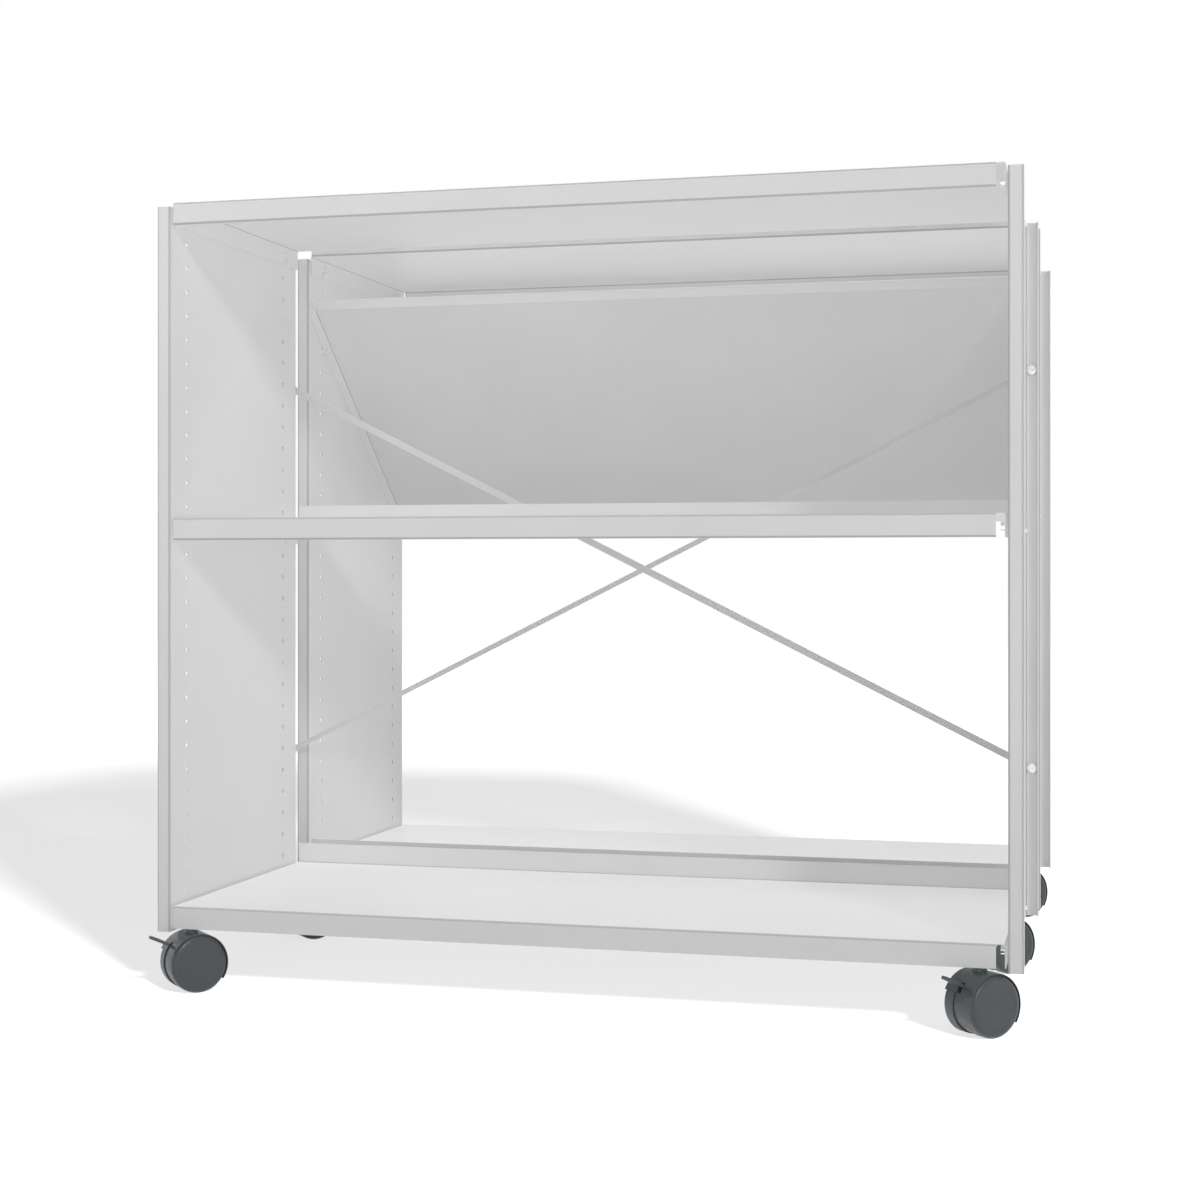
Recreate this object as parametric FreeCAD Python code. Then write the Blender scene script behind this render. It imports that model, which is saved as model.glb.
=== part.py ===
import FreeCAD, Part
import math
import os

# Mobile double bookcase: two single-sided sheet-steel bookcases standing back
# to back on braked twin-wheel castors.  Millimetres.  +X to the right, +Y from
# the front face to the back face, +Z up.  Origin on the floor, under the centre
# of the plan.

os.makedirs("parts", exist_ok=True)

# ---- sheet metal ----
SHEET = 1.0
BEND_INSIDE = 1.5

# ---- overall layout ----
CLEAR_WIDTH = 848.0
FLANGE_WIDTH = 14.5
RETURN_LIP = 12.0
UNIT_DEPTH = 327.5
UNIT_GAP = 36.5
PANEL_HEIGHT = 748.0
PANEL_BOTTOM = 60.5

# ---- pin hole grid in the side panels ----
HOLE_RADIUS = 2.5
HOLE_PITCH = 25.0
HOLE_FIRST = 14.6
HOLE_LAST_MARGIN = 8.0
HOLE_INSET = 40.0

# ---- shelves ----
LIP_DEPTH = 22.8
LIP_RETURN = 8.0
UPSTAND = 22.4
LIP_STOP = 11.0
SHELF_SIDE_GAP = 2.0
END_BEND_INSIDE = 1.0
END_RELIEF = 3.0
FUSE_OVERLAP = 1.0
CUT_OVERRUN = 1.0
PIN_RISE = 10.8
BOTTOM_ROW = 0
ROWS_OVER_MIDDLE = 13

# ---- support pins ----
PIN_HEAD_RADIUS = 4.2
PIN_HEAD_LENGTH = 8.8
PIN_NOTCH_GAP = 0.3
PIN_SHANK_RADIUS = 2.4
PIN_SHANK_LENGTH = 4.0

# ---- sloped display shelf ----
ROWS_OVER_DISPLAY = 4
DISPLAY_ROWS = 8
DISPLAY_FLANGE = 18.7
DISPLAY_TOP_LIP = 14.5
DISPLAY_LEDGE = 24.0
DISPLAY_SETBACK = 1.0

# ---- diagonal cross brace ----
BRACE_RISE = 430.0
BRACE_THICK = 2.0
FRONT_BAR_WIDTH = 7.5
REAR_BAR_WIDTH = 5.6
BRACE_EYE_RADIUS = 6.5
BRACE_HOLE_RADIUS = 3.2
BOLT_RADIUS = 3.0
BOLT_COLLAR_RADIUS = 4.6
BOLT_COLLAR = 1.0
BOLT_HEAD_RADIUS = 5.9
BOLT_HEAD = 3.2
BOLT_HEAD_ROUND = 2.4
BRACE_BOLT_LENGTH = 10.5
NUT_FLATS = 10.0
NUT_HEIGHT = 5.0

# ---- bolted link between the two top shelves ----
LINK_INSET = 124.0
LINK_RISE = 12.0
LINK_SPACER_RADIUS = 4.5
LINK_BOLT_TAIL = 7.0

# ---- castor brackets ----
CASTOR_END_INSET = 23.0
CASTOR_SHIFT = -3.2
CASTOR_INSET = 9.5
BRACKET_SHEET = 2.0
BRACKET_BEND = 1.0
BRACKET_HALF = 10.5
BRACKET_FLANGE = 5.0
BRACKET_FLOOR = 66.5
BRACKET_LENGTH = 50.0
BRACKET_LIP_GAP = 2.6
STEM_HOLE_RADIUS = 4.2

# ---- castors ----
WHEEL_RADIUS = 29.5
WHEEL_OUTER = 21.0
WHEEL_INNER = 6.8
WHEEL_ROUND = 4.5
WHEEL_EDGE = 0.5
WHEEL_BORE_END = 18.0
AXLE_RADIUS = 3.0
AXLE_CLEARANCE = 0.05
AXLE_HALF = 17.7
TRAIL = 2.0
HOOD_INSIDE = 29.85
HOOD_OUTSIDE = 30.85
HOOD_HALF = 19.6
HOOD_START = -34.0
HOOD_END = 155.0
HOOD_EDGE = 0.6
CORE_HALF = 6.2
CORE_RADIUS = 28.2
NECK_RADIUS = 7.0
NECK_FOOT = 59.8
NECK_TOP = 64.2
STEM_RADIUS = 4.0
STEM_CLEARANCE = 0.05
STEM_BOTTOM = 45.0
STEM_TOP = 78.0
STEM_BORE_BOTTOM = 44.0
STEM_COLLAR_RADIUS = 6.5
STEM_COLLAR = 2.0
STEM_NUT_FLATS = 13.0
STEM_NUT_HEIGHT = 6.5
CASTOR_TURN = -45.0

# ---- brake lever ----
PIVOT_BACK = 15.5
PIVOT_HEIGHT = 45.4
PIVOT_RADIUS = 1.5
PIVOT_CLEARANCE = 0.05
PIVOT_HALF = 5.9
LEVER_HUB_RADIUS = 3.2
LEVER_HALF = 2.7
LEVER_SLOT_HALF = 3.0
LEVER_SLOT_GAP = 0.6
LEVER_SLOPE = 24.5
LEVER_THICK = 3.0
LEVER_REACH = 31.5
PADDLE_START = 11.0
PADDLE_ROOT_HALF = 7.0
PADDLE_TIP_HALF = 2.6
LEVER_SLOT_RISE = 0.42

# ---- derived positions ----
WEB_X = CLEAR_WIDTH / 2
SHELF_END_X = WEB_X - SHELF_SIDE_GAP
LIP_LEFT_X = -(SHELF_END_X - SHEET - END_BEND_INSIDE)
LIP_RIGHT_X = WEB_X - LIP_STOP
FLANGE_X = WEB_X + FLANGE_WIDTH / 2
BACK_PLANE = UNIT_GAP / 2
FRONT_PLANE = BACK_PLANE + UNIT_DEPTH
BRACE_MIDDLE = PANEL_BOTTOM + PANEL_HEIGHT / 2
TOP_ROW = int((PANEL_HEIGHT - HOLE_FIRST - HOLE_LAST_MARGIN) / HOLE_PITCH)
MIDDLE_ROW = TOP_ROW - ROWS_OVER_MIDDLE
DISPLAY_UPPER_ROW = TOP_ROW - ROWS_OVER_DISPLAY
DISPLAY_LOWER_ROW = DISPLAY_UPPER_ROW - DISPLAY_ROWS
LINK_X = WEB_X - LINK_INSET
CASTOR_FRONT_Y = FRONT_PLANE - CASTOR_INSET
CASTOR_MIDDLE_Y = BACK_PLANE + CASTOR_INSET
CASTOR_LEFT_X = CASTOR_SHIFT - WEB_X + CASTOR_END_INSET
CASTOR_RIGHT_X = CASTOR_SHIFT + WEB_X - CASTOR_END_INSET
SQRT3 = math.sqrt(3.0)
SAME = 0.01

V = FreeCAD.Vector
X_AXIS = V(1, 0, 0)
Y_AXIS = V(0, 1, 0)
Z_AXIS = V(0, 0, 1)
ORIGIN = V(0, 0, 0)


def save(name, shape):
    """Write one named node as a STEP file."""
    shape.exportStep("parts/" + name + ".step")


def group(solids):
    """Several separate solids kept in one node."""
    return Part.makeCompound(solids)


def row_height(row):
    """Height of one row of pin holes above the floor."""
    return PANEL_BOTTOM + HOLE_FIRST + HOLE_PITCH * row


def shelf_top(row):
    """Height of the upper face of a shelf hung on one row of holes."""
    return row_height(row) - PIN_RISE + LIP_DEPTH


def cylinder_x(radius, start, end, y, z):
    """Cylinder along X between two X values."""
    return Part.makeCylinder(radius, end - start, V(start, y, z), X_AXIS)


def cylinder_y(radius, start, end, x, z):
    """Cylinder along Y between two Y values."""
    return Part.makeCylinder(radius, end - start, V(x, start, z), Y_AXIS)


def cylinder_z(radius, start, end, x, y):
    """Cylinder along Z between two heights."""
    return Part.makeCylinder(radius, end - start, V(x, y, start), Z_AXIS)


def drill_y(radius, start, end, x, z):
    """Tool for a through hole along Y, run past both faces."""
    return cylinder_y(radius, start - CUT_OVERRUN, end + CUT_OVERRUN, x, z)


def drill_z(radius, start, end, x, y):
    """Tool for a through hole along Z, run past both faces."""
    return cylinder_z(radius, start - CUT_OVERRUN, end + CUT_OVERRUN, x, y)


def mirror_x(shape):
    """Copy of a shape on the other side of the YZ plane."""
    return shape.mirror(ORIGIN, X_AXIS)


def mirror_y(shape):
    """Copy of a shape on the other side of the XZ plane."""
    return shape.mirror(ORIGIN, Y_AXIS)


def both_sides(shape):
    """A shape and its mirror image across the YZ plane."""
    return [shape, mirror_x(shape)]


def in_xy(u, v):
    return V(u, v, 0)


def in_xz(u, v):
    return V(u, 0, v)


def in_yz(u, v):
    return V(0, u, v)


def unit(a, b):
    """Unit direction from point a to point b in the plane."""
    length = math.hypot(b[0] - a[0], b[1] - a[1])
    return ((b[0] - a[0]) / length, (b[1] - a[1]) / length)


def rounded_face(corners, radii, place):
    """Flat face from a closed polygon with a fillet radius at each corner."""
    count = len(corners)
    edges = []
    starts = []
    ends = []
    arcs = []
    for i in range(count):
        before = corners[i - 1]
        here = corners[i]
        after = corners[(i + 1) % count]
        into = unit(before, here)
        out = unit(here, after)
        if radii[i] == 0:
            starts.append(here)
            ends.append(here)
            arcs.append(None)
            continue
        cosine = into[0] * out[0] + into[1] * out[1]
        turn = math.acos(max(-1.0, min(1.0, cosine)))
        cut = radii[i] * math.tan(turn / 2)
        start = (here[0] - into[0] * cut, here[1] - into[1] * cut)
        end = (here[0] + out[0] * cut, here[1] + out[1] * cut)
        chord = ((start[0] + end[0]) / 2, (start[1] + end[1]) / 2)
        inward = unit(here, chord)
        reach = radii[i] / math.cos(turn / 2) - radii[i]
        middle = (here[0] + inward[0] * reach, here[1] + inward[1] * reach)
        starts.append(start)
        ends.append(end)
        arcs.append(middle)
    for i in range(count):
        if arcs[i] is not None:
            arc = Part.Arc(place(*starts[i]), place(*arcs[i]), place(*ends[i]))
            edges.append(arc.toShape())
        after = (i + 1) % count
        edges.append(Part.makeLine(place(*ends[i]), place(*starts[after])))
    return Part.Face(Part.Wire(edges))


def folded_face(line, thick, inside, place):
    """Section of a folded sheet: material lies to the left of the line."""
    offset = []
    line_radii = []
    offset_radii = []
    last = len(line) - 1
    for i, here in enumerate(line):
        if i == 0:
            way = unit(here, line[1])
            offset.append((here[0] - way[1] * thick, here[1] + way[0] * thick))
            line_radii.append(0)
            offset_radii.append(0)
            continue
        into = unit(line[i - 1], here)
        if i == last:
            offset.append((here[0] - into[1] * thick, here[1] + into[0] * thick))
            line_radii.append(0)
            offset_radii.append(0)
            continue
        out = unit(here, line[i + 1])
        cross = into[0] * out[1] - into[1] * out[0]
        cosine = into[0] * out[0] + into[1] * out[1]
        scale = thick / (1 + cosine)
        offset.append((here[0] - (into[1] + out[1]) * scale, here[1] + (into[0] + out[0]) * scale))
        if cross > 0:
            line_radii.append(inside + thick)
            offset_radii.append(inside)
        else:
            line_radii.append(inside)
            offset_radii.append(inside + thick)
    corners = list(line) + offset[::-1]
    radii = line_radii + offset_radii[::-1]
    return rounded_face(corners, radii, place)


def hexagon(flats, height, base, axis):
    """Hexagonal nut blank standing on a base point along an axis."""
    radius = flats / SQRT3
    side = V(1, 0, 0) if abs(axis.x) < 0.5 else V(0, 1, 0)
    other = axis.cross(side)
    points = []
    for i in range(7):
        angle = math.radians(60 * i)
        points.append(base + side * (radius * math.cos(angle)) + other * (radius * math.sin(angle)))
    return Part.Face(Part.makePolygon(points)).extrude(axis * height)


# ---- side panels ----

def side_panel(brace_holes):
    """Right-hand panel of the front unit: web inboard, flanges folded outward."""
    outer = WEB_X + FLANGE_WIDTH
    near = -FRONT_PLANE
    far = -BACK_PLANE
    line = [
        (outer, far - RETURN_LIP),
        (outer, far),
        (WEB_X, far),
        (WEB_X, near),
        (outer, near),
        (outer, near + RETURN_LIP),
    ]
    face = folded_face(line, SHEET, BEND_INSIDE, in_xy)
    face.translate(V(0, 0, PANEL_BOTTOM))
    panel = face.extrude(V(0, 0, PANEL_HEIGHT))
    holes = []
    for row in range(TOP_ROW + 1):
        for y in (near + HOLE_INSET, far - HOLE_INSET):
            holes.append(cylinder_x(HOLE_RADIUS, WEB_X - SHEET, WEB_X + 2 * SHEET, y, row_height(row)))
    if brace_holes:
        for side in (-1, 1):
            z = BRACE_MIDDLE + side * BRACE_RISE / 2
            holes.append(drill_y(BRACE_HOLE_RADIUS, far - SHEET, far, FLANGE_X, z))
    return panel.cut(Part.makeCompound(holes))


# ---- shelves ----

def across(section):
    """Shelf section extruded from the left end fold to the right end of the lip."""
    section.translate(V(LIP_LEFT_X, 0, 0))
    return section.extrude(V(LIP_RIGHT_X - LIP_LEFT_X, 0, 0))


def end_section(top, depth):
    """Section of a right-hand end flange folded down from a shelf."""
    line = [
        (SHELF_END_X, top - depth),
        (SHELF_END_X, top),
        (LIP_RIGHT_X - FUSE_OVERLAP, top),
    ]
    return folded_face(line, SHEET, END_BEND_INSIDE, in_xz)


def shelf(row, returned, holes_x):
    """Shelf of the front unit: front lip down, back edge up, ends down."""
    top = shelf_top(row)
    near = -FRONT_PLANE
    far = -BACK_PLANE
    line = [
        (far - SHEET, top + UPSTAND),
        (far - SHEET, top),
        (near, top),
        (near, top - LIP_DEPTH),
    ]
    if returned:
        line.append((near + LIP_RETURN, top - LIP_DEPTH))
    pan = across(folded_face(line, SHEET, BEND_INSIDE, in_yz))
    end_face = end_section(top, LIP_DEPTH)
    end_face.translate(V(0, near + END_RELIEF, 0))
    end = end_face.extrude(V(0, UNIT_DEPTH - 2 * END_RELIEF, 0))
    for y in (near + HOLE_INSET, far - HOLE_INSET):
        end = end.cut(pin_notch(y, top - LIP_DEPTH, row_height(row) + PIN_HEAD_RADIUS))
    pan = pan.fuse(end).fuse(mirror_x(end)).removeSplitter()
    drills = []
    for x in holes_x:
        z = top + LINK_RISE
        drills.append(drill_y(BRACE_HOLE_RADIUS, far - SHEET, far, x, z))
    if drills:
        pan = pan.cut(Part.makeCompound(drills))
    return pan


def pin_notch(y, bottom, top):
    """Notch in a shelf's end flange whose upper edge rests on a support pin."""
    half = PIN_HEAD_RADIUS + PIN_NOTCH_GAP
    start = V(SHELF_END_X - 2 * SHEET, y - half, bottom - SHEET)
    return Part.makeBox(3 * SHEET, 2 * half, top - bottom + SHEET, start)


def display_line():
    """Upper end, slope and lower end of the display sheet, in Y and Z."""
    run = UNIT_DEPTH - 2 * HOLE_INSET
    drop = row_height(DISPLAY_UPPER_ROW) - row_height(DISPLAY_LOWER_ROW)
    slope = drop / run
    angle = math.atan(slope)
    above = (DISPLAY_FLANGE + PIN_HEAD_RADIUS) / math.cos(angle)
    pin_y = BACK_PLANE + HOLE_INSET
    upper_y = BACK_PLANE + DISPLAY_SETBACK
    lower_y = FRONT_PLANE - DISPLAY_SETBACK - SHEET
    upper_z = row_height(DISPLAY_UPPER_ROW) + above + (pin_y - upper_y) * slope
    lower_z = upper_z - (lower_y - upper_y) * slope
    return (upper_y, upper_z), (lower_y, lower_z), angle


def display_shelf():
    """Sloped sheet of the back unit with a top lip, a ledge and end flanges."""
    upper, lower, angle = display_line()
    line = [
        (lower[0], lower[1] + DISPLAY_LEDGE),
        lower,
        upper,
        (upper[0], upper[1] - DISPLAY_TOP_LIP),
    ]
    pan = across(folded_face(line, SHEET, BEND_INSIDE, in_yz))
    length = math.hypot(lower[0] - upper[0], lower[1] - upper[1])
    end_face = end_section(0, DISPLAY_FLANGE)
    trim = DISPLAY_FLANGE * math.tan(angle) + END_RELIEF
    end_face.translate(V(0, trim, 0))
    end = end_face.extrude(V(0, length - trim - END_RELIEF, 0))
    end.rotate(ORIGIN, X_AXIS, -math.degrees(angle))
    end.translate(V(0, upper[0], upper[1]))
    return pan.fuse(end).fuse(mirror_x(end)).removeSplitter()


def support_pin(y, z):
    """Headed pin pushed into one hole of a right-hand web."""
    head = cylinder_x(PIN_HEAD_RADIUS, WEB_X - PIN_HEAD_LENGTH, WEB_X, y, z)
    shank = cylinder_x(PIN_SHANK_RADIUS, WEB_X - SHEET, WEB_X + PIN_SHANK_LENGTH, y, z)
    return head.fuse(shank)


def support_pins(rows):
    """Pins in both hole columns of both webs of the front unit."""
    pins = []
    for row in rows:
        for y in (-FRONT_PLANE + HOLE_INSET, -BACK_PLANE - HOLE_INSET):
            pins += both_sides(support_pin(y, row_height(row)))
    return pins


def display_pins():
    """Pins that the end flanges of the display shelf rest on."""
    pins = both_sides(support_pin(BACK_PLANE + HOLE_INSET, row_height(DISPLAY_UPPER_ROW)))
    pins += both_sides(support_pin(FRONT_PLANE - HOLE_INSET, row_height(DISPLAY_LOWER_ROW)))
    return pins


# ---- diagonal cross brace ----

def brace_bar(width, near_y, fall):
    """Flat bar with a round eye at each end, behind the front unit."""
    end_z = BRACE_RISE / 2
    angle = math.degrees(math.atan2(BRACE_RISE, 2 * FLANGE_X))
    length = 2 * math.hypot(FLANGE_X, end_z)
    bar = Part.makeBox(length, BRACE_THICK, width, V(-length / 2, near_y, -width / 2))
    for x in (-length / 2, length / 2):
        bar = bar.fuse(cylinder_y(BRACE_EYE_RADIUS, near_y, near_y + BRACE_THICK, x, 0))
    bar = bar.removeSplitter()
    for x in (-length / 2, length / 2):
        bar = bar.cut(drill_y(BRACE_HOLE_RADIUS, near_y, near_y + BRACE_THICK, x, 0))
    bar.rotate(ORIGIN, Y_AXIS, fall * angle)
    bar.translate(V(0, 0, BRACE_MIDDLE))
    return bar


def bolt(x, seat_y, z, length):
    """Round-headed bolt pointing backward from its seat."""
    collar = cylinder_y(BOLT_COLLAR_RADIUS, seat_y - BOLT_COLLAR, seat_y, x, z)
    head = cylinder_y(BOLT_HEAD_RADIUS, seat_y - BOLT_COLLAR - BOLT_HEAD, seat_y - BOLT_COLLAR, x, z)
    front = [e for e in head.Edges if abs(e.BoundBox.YMax - (seat_y - BOLT_COLLAR - BOLT_HEAD)) < SAME]
    head = head.makeFillet(BOLT_HEAD_ROUND, front)
    shank = cylinder_y(BOLT_RADIUS, seat_y - BOLT_COLLAR, seat_y + length, x, z)
    return head.fuse(collar).fuse(shank)


def nut(x, y, z):
    """Hexagon nut on a bolt along Y."""
    blank = hexagon(NUT_FLATS, NUT_HEIGHT, V(x, y, z), Y_AXIS)
    return blank.cut(drill_y(BOLT_RADIUS, y, y + NUT_HEIGHT, x, z))


def brace_fasteners():
    """Bolts, nuts and washers at the four eyes of the cross brace."""
    bolts = []
    nuts = []
    washers = []
    flange_back = -BACK_PLANE
    seat = flange_back - SHEET
    for side_x in (-1, 1):
        for side_z in (-1, 1):
            x = side_x * FLANGE_X
            z = BRACE_MIDDLE + side_z * BRACE_RISE / 2
            bolts.append(bolt(x, seat, z, BRACE_BOLT_LENGTH))
            nut_y = flange_back + BRACE_THICK
            if side_x == side_z:
                nut_y += BRACE_THICK
                washer = cylinder_y(BRACE_EYE_RADIUS, flange_back, flange_back + BRACE_THICK, x, z)
                hole = drill_y(BRACE_HOLE_RADIUS, flange_back, flange_back + BRACE_THICK, x, z)
                washers.append(washer.cut(hole))
            nuts.append(nut(x, nut_y, z))
    return bolts, nuts, washers


# ---- link between the two units ----

def link_parts():
    """Spacer sleeves, bolts and nuts through the back edges of the top shelves."""
    z = shelf_top(TOP_ROW) + LINK_RISE
    spacers = []
    bolts = []
    nuts = []
    for x in (-LINK_X, LINK_X):
        sleeve = cylinder_y(LINK_SPACER_RADIUS, -BACK_PLANE, BACK_PLANE, x, z)
        spacers.append(sleeve.cut(drill_y(BRACE_HOLE_RADIUS, -BACK_PLANE, BACK_PLANE, x, z)))
        length = UNIT_GAP + 2 * SHEET + LINK_BOLT_TAIL
        bolts.append(bolt(x, -BACK_PLANE - SHEET, z, length))
        nuts.append(nut(x, BACK_PLANE + SHEET, z))
    return spacers, bolts, nuts


# ---- castor brackets ----

def castor_bracket(stem_x, start_y, end_y, stem_y):
    """Hat-section bracket under a bottom shelf with one castor stem hole."""
    roof = shelf_top(BOTTOM_ROW) - SHEET - BRACKET_SHEET
    line = [
        (-BRACKET_HALF - BRACKET_FLANGE, roof),
        (-BRACKET_HALF, roof),
        (-BRACKET_HALF, BRACKET_FLOOR),
        (BRACKET_HALF, BRACKET_FLOOR),
        (BRACKET_HALF, roof),
        (BRACKET_HALF + BRACKET_FLANGE, roof),
    ]
    face = folded_face(line, BRACKET_SHEET, BRACKET_BEND, in_xz)
    face.translate(V(stem_x, start_y, 0))
    hat = face.extrude(V(0, end_y - start_y, 0))
    return hat.cut(drill_z(STEM_HOLE_RADIUS, BRACKET_FLOOR, BRACKET_FLOOR + BRACKET_SHEET, stem_x, stem_y))


# ---- castors, in a frame of their own: axle along X, brake lever toward -Y ----

def ring_sector(inner, outer, half, start, end):
    """Part of a ring around the axle, between two angles measured from +Y up."""
    centre = V(0, TRAIL, WHEEL_RADIUS)
    points = [
        V(-half, TRAIL + inner, WHEEL_RADIUS),
        V(half, TRAIL + inner, WHEEL_RADIUS),
        V(half, TRAIL + outer, WHEEL_RADIUS),
        V(-half, TRAIL + outer, WHEEL_RADIUS),
        V(-half, TRAIL + inner, WHEEL_RADIUS),
    ]
    face = Part.Face(Part.makePolygon(points))
    face.rotate(centre, X_AXIS, start)
    return face.revolve(centre, X_AXIS, end - start)


def on_hood_rim(edge):
    """Whether an edge runs round one of the two outer rims of the hood."""
    if not isinstance(edge.Curve, Part.Circle):
        return False
    return abs(edge.Curve.Radius - HOOD_OUTSIDE) < SAME


def castor_housing():
    """Wheel hood, core between the wheels and swivel neck in one moulding."""
    hood = ring_sector(HOOD_INSIDE, HOOD_OUTSIDE, HOOD_HALF, HOOD_START, HOOD_END)
    hood = hood.makeFillet(HOOD_EDGE, [edge for edge in hood.Edges if on_hood_rim(edge)])
    crown = ring_sector(0, (HOOD_INSIDE + HOOD_OUTSIDE) / 2, CORE_HALF, HOOD_START, HOOD_END)
    core = cylinder_x(CORE_RADIUS, -CORE_HALF, CORE_HALF, TRAIL, WHEEL_RADIUS)
    neck = cylinder_z(NECK_RADIUS, NECK_FOOT, NECK_TOP, 0, 0)
    body = hood.fuse(crown).fuse(core).fuse(neck)
    body = body.cut(cylinder_z(STEM_RADIUS + STEM_CLEARANCE, STEM_BORE_BOTTOM, NECK_TOP + CUT_OVERRUN, 0, 0))
    bore = AXLE_RADIUS + AXLE_CLEARANCE
    bore_reach = CORE_HALF + CUT_OVERRUN
    body = body.cut(cylinder_x(bore, -bore_reach, bore_reach, TRAIL, WHEEL_RADIUS))
    body = body.cut(lever_slot())
    pivot_reach = CORE_HALF + CUT_OVERRUN
    pivot = cylinder_x(PIVOT_RADIUS + PIVOT_CLEARANCE, -pivot_reach, pivot_reach, -PIVOT_BACK, PIVOT_HEIGHT)
    return body.cut(pivot)


def lever_slot():
    """Slot in the hood and core that the brake lever swings in."""
    reach = LEVER_HUB_RADIUS + LEVER_SLOT_GAP
    out = 2 * WHEEL_RADIUS
    top = PIVOT_HEIGHT + reach + LEVER_SLOT_RISE * (out - PIVOT_BACK)
    corners = [
        V(-LEVER_SLOT_HALF, -PIVOT_BACK, PIVOT_HEIGHT - reach),
        V(-LEVER_SLOT_HALF, -PIVOT_BACK, PIVOT_HEIGHT + reach),
        V(-LEVER_SLOT_HALF, -out, top),
        V(-LEVER_SLOT_HALF, -out, PIVOT_HEIGHT - reach),
        V(-LEVER_SLOT_HALF, -PIVOT_BACK, PIVOT_HEIGHT - reach),
    ]
    wedge = Part.Face(Part.makePolygon(corners)).extrude(V(2 * LEVER_SLOT_HALF, 0, 0))
    pocket = cylinder_x(reach, -LEVER_SLOT_HALF, LEVER_SLOT_HALF, -PIVOT_BACK, PIVOT_HEIGHT)
    return wedge.fuse(pocket)


def castor_wheel():
    """Right-hand wheel: plain tread, rounded outer rim and a blind axle bore."""
    bore = AXLE_RADIUS + AXLE_CLEARANCE
    corners = [
        (WHEEL_INNER, bore),
        (WHEEL_BORE_END, bore),
        (WHEEL_BORE_END, 0),
        (WHEEL_OUTER, 0),
        (WHEEL_OUTER, WHEEL_RADIUS),
        (WHEEL_INNER, WHEEL_RADIUS),
    ]
    radii = [0, 0, 0, 0, WHEEL_ROUND, WHEEL_EDGE]
    face = rounded_face(corners, radii, in_xz)
    face.translate(V(0, TRAIL, WHEEL_RADIUS))
    return face.revolve(V(0, TRAIL, WHEEL_RADIUS), X_AXIS, 360)


def castor_axle():
    """Plain axle pin through the housing and both wheels."""
    return cylinder_x(AXLE_RADIUS, -AXLE_HALF, AXLE_HALF, TRAIL, WHEEL_RADIUS)


def brake_lever():
    """Lever with a pivot hub in the housing and a tapered foot paddle."""
    lift = LEVER_THICK / 2
    arm_length = PADDLE_START + FUSE_OVERLAP
    arm = Part.makeBox(2 * LEVER_HALF, arm_length, LEVER_THICK, V(-LEVER_HALF, -arm_length, -lift))
    corners = [
        V(-PADDLE_ROOT_HALF, -PADDLE_START, -lift),
        V(PADDLE_ROOT_HALF, -PADDLE_START, -lift),
        V(PADDLE_TIP_HALF, -LEVER_REACH, -lift),
        V(-PADDLE_TIP_HALF, -LEVER_REACH, -lift),
        V(-PADDLE_ROOT_HALF, -PADDLE_START, -lift),
    ]
    paddle = Part.Face(Part.makePolygon(corners)).extrude(V(0, 0, LEVER_THICK))
    hub = cylinder_x(LEVER_HUB_RADIUS, -LEVER_HALF, LEVER_HALF, 0, 0)
    trunnion = cylinder_x(PIVOT_RADIUS, -PIVOT_HALF, PIVOT_HALF, 0, 0)
    lever = arm.fuse(paddle).fuse(hub).fuse(trunnion).removeSplitter()
    lever.rotate(ORIGIN, X_AXIS, -LEVER_SLOPE)
    lever.translate(V(0, -PIVOT_BACK, PIVOT_HEIGHT))
    return lever


def castor_stem():
    """Fixed steel stem with a collar, standing on the swivel axis."""
    stem = cylinder_z(STEM_RADIUS, STEM_BOTTOM, STEM_TOP, 0, 0)
    return stem.fuse(cylinder_z(STEM_COLLAR_RADIUS, BRACKET_FLOOR - STEM_COLLAR, BRACKET_FLOOR, 0, 0))


def stem_nut():
    """Hexagon nut that clamps a castor stem to its bracket."""
    base = BRACKET_FLOOR + BRACKET_SHEET
    blank = hexagon(STEM_NUT_FLATS, STEM_NUT_HEIGHT, V(0, 0, base), Z_AXIS)
    return blank.cut(drill_z(STEM_RADIUS, base, base + STEM_NUT_HEIGHT, 0, 0))


def at_castor(shape, x, y):
    """Copy of a castor piece turned to its rest heading and moved to a stem."""
    placed = shape.copy()
    placed.rotate(ORIGIN, Z_AXIS, CASTOR_TURN)
    placed.translate(V(x, y, 0))
    return placed


# ---- build: side panels ----

braced_panel = side_panel(True)
plain_panel = mirror_y(side_panel(False))
save("front_right_side_panel", braced_panel)
save("front_left_side_panel", mirror_x(braced_panel))
save("rear_right_side_panel", plain_panel)
save("rear_left_side_panel", mirror_x(plain_panel))

# ---- build: shelves ----

top_shelf = shelf(TOP_ROW, True, (-LINK_X, LINK_X))
bottom_shelf = shelf(BOTTOM_ROW, False, ())
save("front_top_shelf", top_shelf)
save("front_middle_shelf", shelf(MIDDLE_ROW, True, ()))
save("front_bottom_shelf", bottom_shelf)
save("rear_top_shelf", mirror_y(top_shelf))
save("rear_bottom_shelf", mirror_y(bottom_shelf))
save("sloped_display_shelf", display_shelf())

outer_pins = support_pins((BOTTOM_ROW, TOP_ROW))
rear_pins = [mirror_y(pin) for pin in outer_pins]
save("front_shelf_pins", group(outer_pins + support_pins((MIDDLE_ROW,))))
save("rear_shelf_pins", group(rear_pins + display_pins()))

# ---- build: cross brace ----

save("front_brace_bar", brace_bar(FRONT_BAR_WIDTH, -BACK_PLANE, 1))
save("rear_brace_bar", brace_bar(REAR_BAR_WIDTH, -BACK_PLANE + BRACE_THICK, -1))
brace_bolts, brace_nuts, brace_washers = brace_fasteners()
save("brace_bolts", group(brace_bolts))
save("brace_nuts", group(brace_nuts))
save("brace_washers", group(brace_washers))

# ---- build: link between the units ----

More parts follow.
